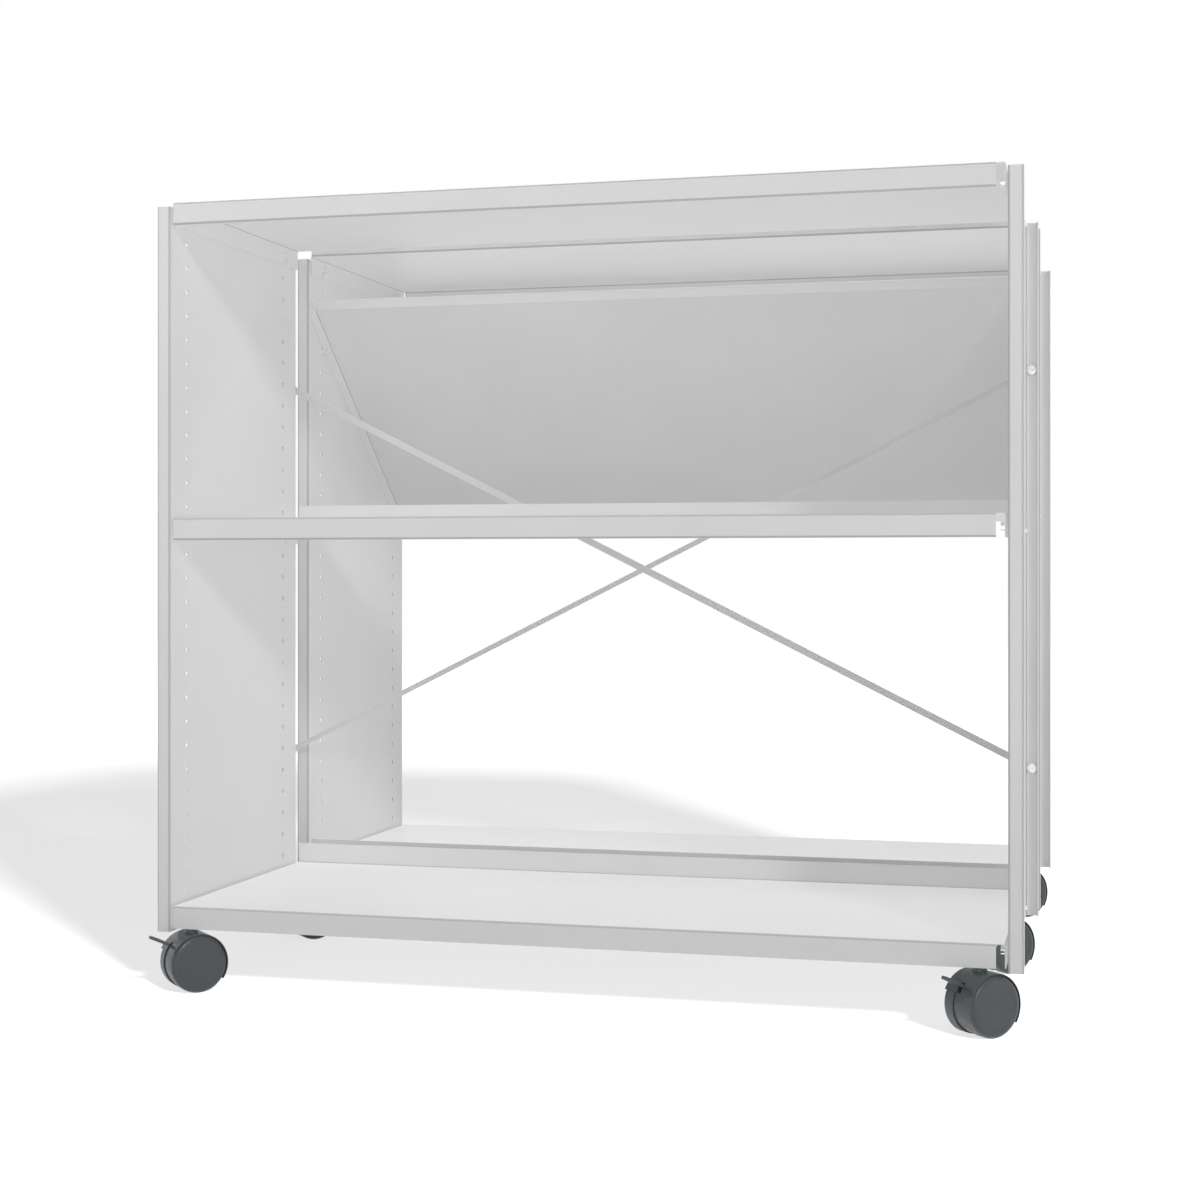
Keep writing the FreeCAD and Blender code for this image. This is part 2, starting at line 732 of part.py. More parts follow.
link_spacers, link_bolts, link_nuts = link_parts()
save("link_spacers", group(link_spacers))
save("link_bolts", group(link_bolts))
save("link_nuts", group(link_nuts))

# ---- build: castor brackets ----

bracket_edge = -FRONT_PLANE + BRACKET_LIP_GAP
bridge_end = BACK_PLANE + BRACKET_LENGTH
front_brackets = []
bridges = []
for castor_x in (CASTOR_LEFT_X, CASTOR_RIGHT_X):
    front_brackets.append(castor_bracket(castor_x, bracket_edge, bracket_edge + BRACKET_LENGTH, -CASTOR_FRONT_Y))
    bridges.append(castor_bracket(castor_x, -bridge_end, bridge_end, -CASTOR_MIDDLE_Y))
save("front_castor_brackets", group(front_brackets))
save("middle_castor_bridges", group(bridges))
save("rear_castor_brackets", group([mirror_y(bracket) for bracket in front_brackets]))

# ---- build: castors ----

housing = castor_housing()
axle = castor_axle()
right_wheel = castor_wheel()
left_wheel = mirror_x(right_wheel)
lever = brake_lever()
stem = castor_stem()
clamp_nut = stem_nut()

castor_rows = (("front", -CASTOR_FRONT_Y), ("middle", -CASTOR_MIDDLE_Y), ("rear", CASTOR_FRONT_Y))
castor_sides = (("left", CASTOR_LEFT_X), ("right", CASTOR_RIGHT_X))
stems = []
stem_nuts = []
for row_name, castor_y in castor_rows:
    for side_name, castor_x in castor_sides:
        label = row_name + "_" + side_name + "_castor_"
        save(label + "housing", at_castor(housing, castor_x, castor_y))
        save(label + "axle", at_castor(axle, castor_x, castor_y))
        save(label + "right_wheel", at_castor(right_wheel, castor_x, castor_y))
        save(label + "left_wheel", at_castor(left_wheel, castor_x, castor_y))
        save(label + "brake_lever", at_castor(lever, castor_x, castor_y))
        stems.append(at_castor(stem, castor_x, castor_y))
        stem_nuts.append(at_castor(clamp_nut, castor_x, castor_y))
save("castor_stems", group(stems))
save("castor_stem_nuts", group(stem_nuts))
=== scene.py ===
"""Looks of a mobile double bookcase: two sheet-steel units on braked castors.

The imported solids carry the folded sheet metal. This script finishes them with
procedural materials and models the wheels, brake levers and bolts anew.
"""

import logging
import math
from dataclasses import dataclass
from enum import Enum
from typing import Dict, Iterable, List, Optional, Sequence, Tuple

import bmesh
import bpy
from mathutils import Matrix, Vector


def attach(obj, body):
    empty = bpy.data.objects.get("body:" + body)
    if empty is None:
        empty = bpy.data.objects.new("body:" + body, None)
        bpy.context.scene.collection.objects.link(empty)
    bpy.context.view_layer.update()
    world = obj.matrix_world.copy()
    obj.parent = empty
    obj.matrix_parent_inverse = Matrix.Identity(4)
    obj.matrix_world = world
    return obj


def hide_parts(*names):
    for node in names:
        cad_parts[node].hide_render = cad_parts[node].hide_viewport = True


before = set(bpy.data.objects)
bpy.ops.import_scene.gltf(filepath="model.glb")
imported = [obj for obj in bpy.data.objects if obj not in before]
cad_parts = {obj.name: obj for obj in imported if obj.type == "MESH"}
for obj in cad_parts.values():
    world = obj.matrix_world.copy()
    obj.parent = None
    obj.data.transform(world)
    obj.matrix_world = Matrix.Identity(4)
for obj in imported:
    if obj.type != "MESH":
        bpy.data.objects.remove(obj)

Color = Tuple[float, float, float, float]
Point = Tuple[float, float]
Triple = Tuple[float, float, float]
Socket = bpy.types.NodeSocket

LOG = logging.getLogger("bookcase")
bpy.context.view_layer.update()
MM = 0.001
WELD_MM = 1e-4
SHARP_DEGREES = 32.0
ORIGIN: Triple = (0.0, 0.0, 0.0)


class Slot(Enum):
    """Material slots of the record; no new piece here takes its finish from them."""

    ZINC = "zinc_steel"
    WHEEL = "wheel_plastic"
    LEVER = "lever_plastic"


class Row(Enum):
    """Castor rows from front to back, named as the nodes are."""

    FRONT = "front"
    MIDDLE = "middle"
    REAR = "rear"


class Side(Enum):
    """Left and right castors, with the sign of their X position."""

    LEFT = "left"
    RIGHT = "right"

    @property
    def sign(self) -> float:
        """Sign of X on this side."""
        return -1.0 if self is Side.LEFT else 1.0


# ---------------------------------------------------------------- node graphs

NUMBER = "NodeSocketFloat"
VECTOR = "NodeSocketVector"


class Graph:
    """Short way to place and join shader nodes in one node tree."""

    # A Mix node's colour sockets stand behind those for numbers and vectors.
    MIX_FACTOR = 0
    MIX_A = 6
    MIX_B = 7
    MIX_RESULT = 2

    def __init__(self, tree: bpy.types.NodeTree) -> None:
        """Starts an empty graph.

        Args:
            tree: node tree of a material or of a node group.
        """
        self.tree = tree
        self.tree.nodes.clear()

    def node(self, kind: str, **settings: object) -> bpy.types.Node:
        """Adds one node.

        Args:
            kind: class name of the node, such as ShaderNodeTexNoise.
            settings: properties set on the node.

        Returns:
            The new node.
        """
        made = self.tree.nodes.new(kind)
        for name, value in settings.items():
            setattr(made, name, value)
        return made

    def join(self, source: Socket, target: Socket) -> None:
        """Links an output socket to an input socket."""
        self.tree.links.new(source, target)

    def feed(self, value: object, target: Socket) -> None:
        """Links a socket, or sets a plain value, on an input.

        Args:
            value: output socket or plain value.
            target: input socket that takes it.
        """
        if isinstance(value, bpy.types.NodeSocket):
            self.join(value, target)
        else:
            target.default_value = value

    def group(
        self, tree: bpy.types.NodeTree, values: Dict[str, object]
    ) -> bpy.types.Node:
        """Places a shared node group with its own values.

        Args:
            tree: the group.
            values: socket or plain value for its inputs, by name.

        Returns:
            The node of the group.
        """
        made = self.node("ShaderNodeGroup", node_tree=tree)
        for name, value in values.items():
            self.feed(value, made.inputs[name])
        return made

    def math(self, kind: str, a: object, b: object) -> Socket:
        """Math node on two values or sockets.

        Args:
            kind: operation, such as MULTIPLY.
            a: first number or socket.
            b: second number or socket.

        Returns:
            The result socket.
        """
        made = self.node("ShaderNodeMath", operation=kind)
        for index, value in enumerate((a, b)):
            self.feed(value, made.inputs[index])
        return made.outputs[0]

    def noise(
        self, vector: Socket, scale: object, detail: float, rough: float = 0.5
    ) -> Socket:
        """Noise texture in metres.

        Args:
            vector: coordinates.
            scale: waves to the metre.
            detail: octaves.
            rough: roughness of the octaves.

        Returns:
            The grey value, 0 to 1.
        """
        made = self.node("ShaderNodeTexNoise")
        made.inputs["Detail"].default_value = detail
        made.inputs["Roughness"].default_value = rough
        self.feed(scale, made.inputs["Scale"])
        self.join(vector, made.inputs["Vector"])
        return made.outputs["Fac"]

    def remap(
        self, value: Socket, low: float, high: float, to_low: object, to_high: object
    ) -> Socket:
        """Map Range node, clamped.

        Args:
            value: value to map.
            low: start of its range.
            high: end of its range.
            to_low: result at the start.
            to_high: result at the end.

        Returns:
            The mapped value.
        """
        made = self.node("ShaderNodeMapRange")
        self.join(value, made.inputs["Value"])
        made.inputs["From Min"].default_value = low
        made.inputs["From Max"].default_value = high
        self.feed(to_low, made.inputs["To Min"])
        self.feed(to_high, made.inputs["To Max"])
        return made.outputs["Result"]

    def blend(self, factor: Socket, a: object, b: object) -> Socket:
        """Colour mix.

        Args:
            factor: 0 gives a, 1 gives b.
            a: first colour or socket.
            b: second colour or socket.

        Returns:
            The mixed colour.
        """
        made = self.node("ShaderNodeMix", data_type="RGBA")
        self.join(factor, made.inputs[self.MIX_FACTOR])
        self.feed(a, made.inputs[self.MIX_A])
        self.feed(b, made.inputs[self.MIX_B])
        return made.outputs[self.MIX_RESULT]


def new_group(
    name: str, inputs: Dict[str, str], outputs: Dict[str, str]
) -> Tuple[bpy.types.NodeTree, Graph]:
    """Empty shader node group with named sockets.

    Args:
        name: name of the group.
        inputs: socket name to socket class for the inputs.
        outputs: socket name to socket class for the outputs.

    Returns:
        The group and a graph on it.
    """
    group = bpy.data.node_groups.new(name, "ShaderNodeTree")
    for title, kind in inputs.items():
        group.interface.new_socket(title, in_out="INPUT", socket_type=kind)
    for title, kind in outputs.items():
        group.interface.new_socket(title, in_out="OUTPUT", socket_type=kind)
    return group, Graph(group)


def powder_group() -> bpy.types.NodeTree:
    """Powder coat: orange-peel height, cloudy tone and handling rub.

    Returns:
        A group with Height, Cloud and Rub outputs.
    """
    speck_ratio, speck_share = 3.7, 0.2
    fine_ratio = 9.0
    rub_band = (0.27, 0.40)
    group, g = new_group(
        "powder_coat_texture",
        {"Vector": VECTOR, "Peel Scale": NUMBER, "Cloud Scale": NUMBER},
        {"Height": NUMBER, "Cloud": NUMBER, "Rub": NUMBER},
    )
    source = g.node("NodeGroupInput")
    sink = g.node("NodeGroupOutput")
    vector = source.outputs["Vector"]
    peel_scale = source.outputs["Peel Scale"]
    cloud_scale = source.outputs["Cloud Scale"]
    peel = g.noise(vector, peel_scale, detail=3.0, rough=0.55)
    speck = g.noise(vector, g.math("MULTIPLY", peel_scale, speck_ratio), detail=1.0)
    coarse = g.math("MULTIPLY", peel, 1.0 - speck_share)
    height = g.math("ADD", coarse, g.math("MULTIPLY", speck, speck_share))
    cloud = g.noise(vector, cloud_scale, detail=4.0, rough=0.6)
    fine_scale = g.math("MULTIPLY", cloud_scale, fine_ratio)
    fine = g.noise(vector, fine_scale, detail=5.0, rough=0.7)
    rub = g.remap(g.math("MULTIPLY", cloud, fine), *rub_band, 0.0, 1.0)
    g.join(height, sink.inputs["Height"])
    g.join(cloud, sink.inputs["Cloud"])
    g.join(rub, sink.inputs["Rub"])
    return group


def painted_fold_shade_group() -> bpy.types.NodeTree:
    """Painted shade on folds of bent sheet: 1 where it turns from the flats.

    Returns:
        A group with a Fold output, from an object-space normal and the tilt
        of a sloped sheet about X.
    """
    group, g = new_group(
        "sheet_fold_painted_shade", {"Normal": VECTOR, "Tilt": NUMBER}, {"Fold": NUMBER}
    )
    source = g.node("NodeGroupInput")
    sink = g.node("NodeGroupOutput")
    turned = g.node("ShaderNodeVectorRotate", rotation_type="X_AXIS")
    g.join(source.outputs["Normal"], turned.inputs["Vector"])
    g.join(source.outputs["Tilt"], turned.inputs["Angle"])
    level = off_axis(g, source.outputs["Normal"])
    sloped = off_axis(g, turned.outputs["Vector"])
    g.join(g.math("MINIMUM", level, sloped), sink.inputs["Fold"])
    return group


def off_axis(g: Graph, normal: Socket) -> Socket:
    """Mask of the normals that lie along none of the three axes.

    Args:
        g: graph that takes the nodes.
        normal: unit normal.

    Returns:
        0 on flats, 1 well inside a fold.
    """
    folded, flat = 0.93, 0.995
    parts = g.node("ShaderNodeSeparateXYZ")
    g.join(normal, parts.inputs[0])
    x, y, z = (g.math("ABSOLUTE", part, 0.0) for part in parts.outputs)
    longest = g.math("MAXIMUM", g.math("MAXIMUM", x, y), z)
    return g.remap(longest, folded, flat, 1.0, 0.0)


def grain_group() -> bpy.types.NodeTree:
    """Moulded plastic: fine spark grain and soft flow marks.

    Returns:
        A group with Height and Flow outputs.
    """
    flow_ratio = 0.03
    group, g = new_group(
        "moulded_grain",
        {"Vector": VECTOR, "Grain Scale": NUMBER},
        {"Height": NUMBER, "Flow": NUMBER},
    )
    source = g.node("NodeGroupInput")
    sink = g.node("NodeGroupOutput")
    vector = source.outputs["Vector"]
    grain_scale = source.outputs["Grain Scale"]
    grain = g.noise(vector, grain_scale, detail=2.0, rough=0.6)
    flow_scale = g.math("MULTIPLY", grain_scale, flow_ratio)
    flow = g.noise(vector, flow_scale, detail=3.0, rough=0.6)
    g.join(grain, sink.inputs["Height"])
    g.join(flow, sink.inputs["Flow"])
    return group


# -------------------------------------------------------------------- finishes

# Bands of a noise's values, over which a finish changes from end to end.
NARROW_BAND = (0.35, 0.65)
WIDE_BAND = (0.3, 0.7)
BUMP_STRENGTH = 0.6


@dataclass(frozen=True)
class PowderCoat:
    """Satin powder coat on steel, with painted shade along the folds of the sheet."""

    name: str
    color: Color
    shade: float = 0.965
    rough_low: float = 0.40
    rough_high: float = 0.52
    rub_polish: float = 0.05
    peel_scale: float = 900.0
    cloud_scale: float = 7.0
    bump: float = 0.00003
    # Share of the colour kept on the folds: painted shade for the crease.
    fold_painted_shade: float = 0.62
    tilt: float = 0.0

    def make(self, textures: Dict[str, bpy.types.NodeTree]) -> bpy.types.Material:
        """Builds the material.

        Args:
            textures: shared node groups by name.

        Returns:
            The material.
        """
        mat, g, shader = start_material(self.name)
        coords = g.node("ShaderNodeTexCoord")
        coat = g.group(
            textures["powder"],
            {
                "Vector": coords.outputs["Object"],
                "Peel Scale": self.peel_scale,
                "Cloud Scale": self.cloud_scale,
            },
        )
        folds = g.group(
            textures["folds"], {"Normal": coords.outputs["Normal"], "Tilt": self.tilt}
        )
        cloud = coat.outputs["Cloud"]
        tone = g.remap(cloud, *NARROW_BAND, 0.0, 1.0)
        flat = g.blend(tone, shaded(self.color, self.shade), self.color)
        # Painted shade: the folds take a darker copy of the paint, standing in for the
        # shade in the crease.
        dark = shaded(self.color, self.fold_painted_shade)
        paint = g.blend(folds.outputs["Fold"], flat, dark)
        g.join(paint, shader.inputs["Base Color"])
        rough = g.remap(cloud, *WIDE_BAND, self.rough_low, self.rough_high)
        polish = g.math("MULTIPLY", coat.outputs["Rub"], self.rub_polish)
        g.join(g.math("SUBTRACT", rough, polish), shader.inputs["Roughness"])
        if self.bump:
            add_bump(g, coat.outputs["Height"], self.bump, shader)
        return mat


@dataclass(frozen=True)
class ZincSteel:
    """Bright zinc plating with fine turning marks."""

    name: str
    color: Color
    dark: Color
    metallic: float = 0.85
    rough_low: float = 0.22
    rough_high: float = 0.40
    scale: float = 450.0
    mark_ratio: float = 5.0
    cloud_ratio: float = 0.2
    bump: float = 0.00002

    def make(self, textures: Dict[str, bpy.types.NodeTree]) -> bpy.types.Material:
        """Builds the material.

        Args:
            textures: shared node groups by name.

        Returns:
            The material.
        """
        mat, g, shader = start_material(self.name)
        vector = g.node("ShaderNodeTexCoord").outputs["Object"]
        shader.inputs["Metallic"].default_value = self.metallic
        spangle = g.noise(vector, self.scale, detail=4.0, rough=0.65)
        coat = g.group(
            textures["powder"],
            {
                "Vector": vector,
                "Peel Scale": self.scale * self.mark_ratio,
                "Cloud Scale": self.scale * self.cloud_ratio,
            },
        )
        tone = g.remap(spangle, *NARROW_BAND, 0.0, 1.0)
        g.join(g.blend(tone, self.dark, self.color), shader.inputs["Base Color"])
        cloud = coat.outputs["Cloud"]
        rough = g.remap(cloud, *WIDE_BAND, self.rough_low, self.rough_high)
        g.join(rough, shader.inputs["Roughness"])
        add_bump(g, coat.outputs["Height"], self.bump, shader)
        return mat


@dataclass(frozen=True)
class MouldedPlastic:
    """Dark moulded plastic with a fine grain; the tread of a wheel is duller."""

    name: str
    color: Color
    worn: Color
    worn_share: float = 0.35
    rough_low: float = 0.24
    rough_high: float = 0.34
    tread_rough: float = 0.5
    grain_scale: float = 1400.0
    scuff_scale: float = 260.0
    scuff_band: Tuple[float, float] = (0.4, 0.62)
    scuff_least: float = 0.25
    bump: float = 0.00002
    tread: bool = False

    def make(self, textures: Dict[str, bpy.types.NodeTree]) -> bpy.types.Material:
        """Builds the material.

        Args:
            textures: shared node groups by name.

        Returns:
            The material.
        """
        mat, g, shader = start_material(self.name)
        vector = g.node("ShaderNodeTexCoord").outputs["Object"]
        grain = g.group(
            textures["grain"], {"Vector": vector, "Grain Scale": self.grain_scale}
        )
        flow = grain.outputs["Flow"]
        tone = g.remap(flow, *WIDE_BAND, 0.0, self.worn_share)
        rough = g.remap(flow, *WIDE_BAND, self.rough_low, self.rough_high)
        if self.tread:
            band = g.node("ShaderNodeAttribute", attribute_name=WheelPiece.TREAD)
            scuff = g.noise(vector, self.scuff_scale, detail=4.0, rough=0.7)
            scuffed = g.remap(scuff, *self.scuff_band, self.scuff_least, 1.0)
            worn = g.math("MULTIPLY", band.outputs["Fac"], scuffed)
            tone = g.math("MAXIMUM", tone, worn)
            rough = g.remap(worn, 0.0, 1.0, rough, self.tread_rough)
        g.join(g.blend(tone, self.color, self.worn), shader.inputs["Base Color"])
        g.join(rough, shader.inputs["Roughness"])
        add_bump(g, grain.outputs["Height"], self.bump, shader)
        return mat


def shaded(color: Color, share: float) -> Color:
    """The colour at a share of its brightness."""
    return tuple(part * share for part in color[:3]) + (1.0,)


def start_material(name: str) -> Tuple[bpy.types.Material, Graph, bpy.types.Node]:
    """Material with an empty Principled shader.

    Args:
        name: name of the material.

    Returns:
        The material, its graph and the shader node.
    """
    mat = bpy.data.materials.new(name)
    mat.use_nodes = True
    g = Graph(mat.node_tree)
    shader = g.node("ShaderNodeBsdfPrincipled")
    output = g.node("ShaderNodeOutputMaterial")
    g.join(shader.outputs["BSDF"], output.inputs["Surface"])
    return mat, g, shader


def add_bump(g: Graph, height: Socket, depth: float, shader: bpy.types.Node) -> None:
    """Bump from a height value.

    Args:
        g: graph of the material.
        height: value from 0 to 1.
        depth: depth of the relief in metres.
        shader: shader node that takes the normal.
    """
    bump = g.node("ShaderNodeBump")
    bump.inputs["Strength"].default_value = BUMP_STRENGTH
    bump.inputs["Distance"].default_value = depth
    g.join(height, bump.inputs["Height"])
    g.join(bump.outputs["Normal"], shader.inputs["Normal"])


class Finishes:
    """Every finish of the bookcase, built once."""

    DISPLAY_DROP = 200.0
    DISPLAY_RUN = 247.5

    def __init__(self) -> None:
        """Builds the shared textures and the materials."""
        textures = {
            "powder": powder_group(),
            "grain": grain_group(),
            "folds": painted_fold_shade_group(),
        }
        slate = (0.040, 0.048, 0.053, 1.0)
        slate_worn = (0.064, 0.074, 0.079, 1.0)
        grey = (0.70, 0.70, 0.701, 1.0)
        # Painted shade: the brace bars have the same paint as the sheet, made darker to
        # stand in for the shade on them.
        bar_grey_painted_shade = (0.57, 0.57, 0.571, 1.0)
        zinc_bright = (0.92, 0.92, 0.925, 1.0)
        zinc_dark = (0.80, 0.81, 0.82, 1.0)
        tilt = math.atan2(self.DISPLAY_DROP, self.DISPLAY_RUN)
        sheet = PowderCoat("light_grey_powder_coat", grey)
        sloped = PowderCoat("light_grey_sloped_sheet", grey, tilt=tilt)
        bar = PowderCoat(
            "grey_bar_coat_painted_shade",
            bar_grey_painted_shade,
            rough_low=0.58,
            rough_high=0.64,
            bump=0.0,
            fold_painted_shade=1.0,
        )
        zinc = ZincSteel("bright_zinc", zinc_bright, zinc_dark)
        housing = MouldedPlastic("slate_housing_plastic", slate, slate_worn)
        wheel = MouldedPlastic("slate_wheel_plastic", slate, slate_worn, tread=True)
        lever = MouldedPlastic(
            "slate_lever_plastic", slate, slate_worn, rough_low=0.34, rough_high=0.46
        )
        self.sheet = sheet.make(textures)
        self.sloped = sloped.make(textures)
        self.bar = bar.make(textures)
        self.zinc = zinc.make(textures)
        self.housing = housing.make(textures)
        self.wheel = wheel.make(textures)
        self.lever = lever.make(textures)


def dress(node: str, mat: bpy.types.Material) -> None:
    """Gives one CAD node its finish.

    Args:
        node: name of the node.
        mat: its material.
    """
    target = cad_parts[node]
    target.data.materials.clear()
    target.data.materials.append(mat)
    LOG.info("dressed %s with %s", node, mat.name)


# ---------------------------------------------------------------- mesh helpers


def to_piece(
    mesh: bmesh.types.BMesh, name: str, mat: bpy.types.Material, place: Matrix
) -> bpy.types.Object:
    """Turns a finished bmesh into a piece with its place in its mesh.

    Args:
        mesh: the shape, in millimetres; it is freed.
        name: name of the piece.
        mat: its material.
        place: where the shape goes, in metres.

    Returns:
        The new object, at the origin.
    """
    bmesh.ops.remove_doubles(mesh, verts=mesh.verts, dist=WELD_MM)
    bmesh.ops.recalc_face_normals(mesh, faces=mesh.faces)
    bmesh.ops.transform(mesh, matrix=place @ Matrix.Scale(MM, 4), verts=mesh.verts)
    data = bpy.data.meshes.new(name)
    mesh.to_mesh(data)
    mesh.free()
    data.materials.append(mat)
    data.polygons.foreach_set("use_smooth", [True] * len(data.polygons))
    data.set_sharp_from_angle(angle=math.radians(SHARP_DEGREES))
    piece = bpy.data.objects.new(name, data)
    bpy.context.scene.collection.objects.link(piece)
    return piece


def spin_section(points: Sequence[Point], steps: int) -> bmesh.types.BMesh:
    """Solid of revolution about X from a section in X and radius.

    Args:
        points: closed or axis-to-axis line of the section, in millimetres.
        steps: number of segments round the axis.

    Returns:
        The surface, closed where the line starts and ends on the axis.
    """
    mesh = bmesh.new()
    verts = [mesh.verts.new((x, r, 0.0)) for x, r in points]
    edges = [mesh.edges.new(pair) for pair in zip(verts, verts[1:])]
    bmesh.ops.spin(
        mesh,
        geom=verts + edges,
        cent=ORIGIN,
        axis=(1.0, 0.0, 0.0),
        angle=math.tau,
        steps=steps,
        use_merge=True,
    )
    bmesh.ops.remove_doubles(mesh, verts=mesh.verts, dist=WELD_MM)
    return mesh


def bevel_sharp(
    mesh: bmesh.types.BMesh, width: float, segments: int, angle: float
) -> None:
    """Bevels every edge whose faces meet at more than an angle.

    Args:
        mesh: the shape.
        width: width of the bevel in the mesh's units.
        segments: rows of faces in the bevel.
        angle: least angle between the two faces, in degrees.
    """
    limit = math.radians(angle)
    sharp = [
        edge
        for edge in mesh.edges
        if len(edge.link_faces) == 2 and edge.calc_face_angle(0.0) > limit
    ]
    bmesh.ops.bevel(
        mesh,
        geom=sharp,
        offset=width,
        offset_type="OFFSET",
        segments=segments,
        profile=0.5,
        affect="EDGES",
        clamp_overlap=True,
        material=-1,
    )


# --------------------------------------------------------------------- castors


@dataclass
class CastorFrame:
    """Place of one castor: stem position, heading and wheel centre."""

    row: Row
    side: Side
    spread: float = 401.0
    shift: float = -3.2
    outer_y: float = 336.25
    middle_y: float = 27.75
    turn: float = -45.0
    trail: float = 2.0
    axle_height: float = 29.5

    @property
    def label(self) -> str:
        """Start of the names of this castor's nodes and bodies."""
        return f"{self.row.value}_{self.side.value}_castor"

    @property
    def stem(self) -> Matrix:
        """Frame at the floor under the stem.

        Returns:
            A matrix with the axle along X and the lever toward -Y.
        """
        y = {
            Row.FRONT: -self.outer_y,
            Row.MIDDLE: -self.middle_y,
            Row.REAR: self.outer_y,
        }[self.row]
        spot = Vector((self.shift + self.side.sign * self.spread, y, 0.0)) * MM
        heading = Matrix.Rotation(math.radians(self.turn), 4, "Z")
        return Matrix.Translation(spot) @ heading

    @property
    def axle(self) -> Matrix:
        """Frame at the wheel centre, with the axle along X."""
        offset = Vector((0.0, self.trail, self.axle_height)) * MM
        return self.stem @ Matrix.Translation(offset)


@dataclass
class WheelPiece:
    """One castor wheel: tread, rounded rim, dished face and ribbed back."""

    TREAD = "tread"

    radius: float = 29.5
    inner: float = 6.8
    outer: float = 21.0
    round_rim: float = 4.5
    face_radius: float = 22.6
    face_step: float = 0.35
    face_wall: float = 3.0
    hub_radius: float = 9.0
    bore: float = 3.05
    pocket_outer: float = 25.2
    pocket_depth: float = 6.0
    pocket_draft: float = 0.4
    chamfer: float = 0.5
    tread_depth: float = 1.2
    tread_fade: float = 1.0
    ribs: int = 8
    rib_width: float = 1.4
    rib_step: float = 1.0
    rib_overlap: float = 0.6
    steps: int = 72
    rim_points: int = 6

    def section(self) -> List[Point]:
        """Section line from the bore at the back to the middle of the face.

        Returns:
            Points of X and radius.
        """
        back = self.inner + self.pocket_depth
        line = [
            (self.outer - self.face_wall, 0.0),
            (self.outer - self.face_wall, self.bore),
            (self.inner, self.bore),
            (self.inner, self.hub_radius),
            (back, self.hub_radius + self.pocket_draft),
            (back, self.pocket_outer - self.pocket_draft),
            (self.inner, self.pocket_outer),
            (self.inner, self.radius - self.chamfer),
            (self.inner + self.chamfer, self.radius),
        ]
        centre = self.outer - self.round_rim
        for i in range(self.rim_points + 1):
            angle = math.pi / 2 * i / self.rim_points
            x = centre + self.round_rim * math.sin(angle)
            r = self.radius - self.round_rim + self.round_rim * math.cos(angle)
            line.append((x, r))
        line += [
            (self.outer, self.face_radius + self.chamfer),
            (self.outer - self.face_step, self.face_radius),
            (self.outer - self.face_step, 0.0),
        ]
        return line

    def make(
        self, castor: CastorFrame, side: Side, mat: bpy.types.Material
    ) -> bpy.types.Object:
        """Builds one wheel and puts it on its body.

        Args:
            castor: place of the castor.
            side: side of the castor that the wheel is on.
            mat: its finish.

        Returns:
            The wheel.
        """
        mesh = spin_section(self.section(), self.steps)
        self.add_ribs(mesh)
        if side is Side.LEFT:
            bmesh.ops.scale(mesh, vec=(-1.0, 1.0, 1.0), verts=mesh.verts)
        layer = mesh.verts.layers.float.new(self.TREAD)
        for vert in mesh.verts:
            height = math.hypot(vert.co.y, vert.co.z) - self.radius + self.tread_depth
            vert[layer] = min(1.0, max(0.0, height / self.tread_fade))
        name = f"{castor.label}_{side.value}_wheel_moulded"
        piece = to_piece(mesh, name, mat, castor.axle)
        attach(piece, f"{castor.label}_{side.value}_wheel_body")
        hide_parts(f"{castor.label}_{side.value}_wheel")
        LOG.info("built %s", name)
        return piece

    def add_ribs(self, mesh: bmesh.types.BMesh) -> None:
        """Adds the spokes in the pocket at the back of the wheel.

        Args:
            mesh: the wheel.
        """
        length = self.pocket_outer - self.hub_radius + self.rib_overlap
        middle = (self.pocket_outer + self.hub_radius) / 2
        depth = self.pocket_depth - self.rib_step
        centre = (self.inner + self.rib_step + depth / 2, middle, 0.0)
        for i in range(self.ribs):
            box = bmesh.ops.create_cube(mesh, size=1.0)["verts"]
            bmesh.ops.scale(mesh, vec=(depth, length, self.rib_width), verts=box)
            bmesh.ops.translate(mesh, vec=centre, verts=box)
            turn = Matrix.Rotation(math.tau * i / self.ribs, 3, "X")
            bmesh.ops.rotate(mesh, cent=ORIGIN, matrix=turn, verts=box)


